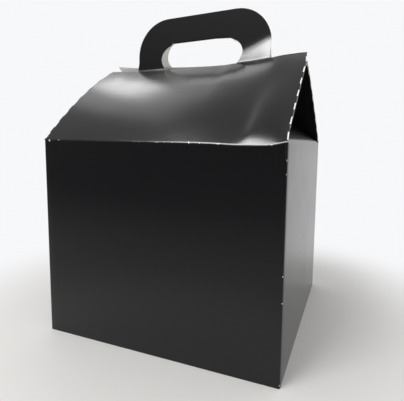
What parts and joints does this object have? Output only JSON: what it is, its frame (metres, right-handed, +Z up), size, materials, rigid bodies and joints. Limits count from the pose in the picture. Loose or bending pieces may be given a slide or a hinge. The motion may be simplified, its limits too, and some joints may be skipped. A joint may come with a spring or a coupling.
{
  "type": "gable carry-out meal box",
  "caption": "Gable-top carry-out box folded from black coated card, with an arched hand-hole handle and perforated, infolded end gussets.",
  "frame": {"origin": "middle of the bottom face, on the surface the box stands on", "axes": "+Z up, +X to the right along the front wall and the ridge, -Y out of the front wall"},
  "size_m": [0.15, 0.15, 0.2088],
  "materials": {
    "coated_card": "glossy black coating outside, pale uncoated board inside and on the cut edges"
  },
  "bodies": {
    "carton": {"carton_body": "coated_card"},
    "front_flap": {"front_roof_flap": "coated_card"},
    "rear_flap": {"rear_roof_flap": "coated_card"}
  },
  "joints": [
    {"name": "front_flap_crease", "type": "hinge", "parent": "carton", "child": "front_flap", "pos_m": [0, -0.0732, 0.123], "axis": [1, 0, 0], "range_deg": [0, 53]},
    {"name": "rear_flap_crease", "type": "hinge", "parent": "carton", "child": "rear_flap", "pos_m": [0, 0.0732, 0.123], "axis": [-1, 0, 0], "range_deg": [0, 53]}
  ],
  "couplings": [
    {"joint": "rear_flap_crease", "follows": "front_flap_crease", "ratio": 1}
  ]
}
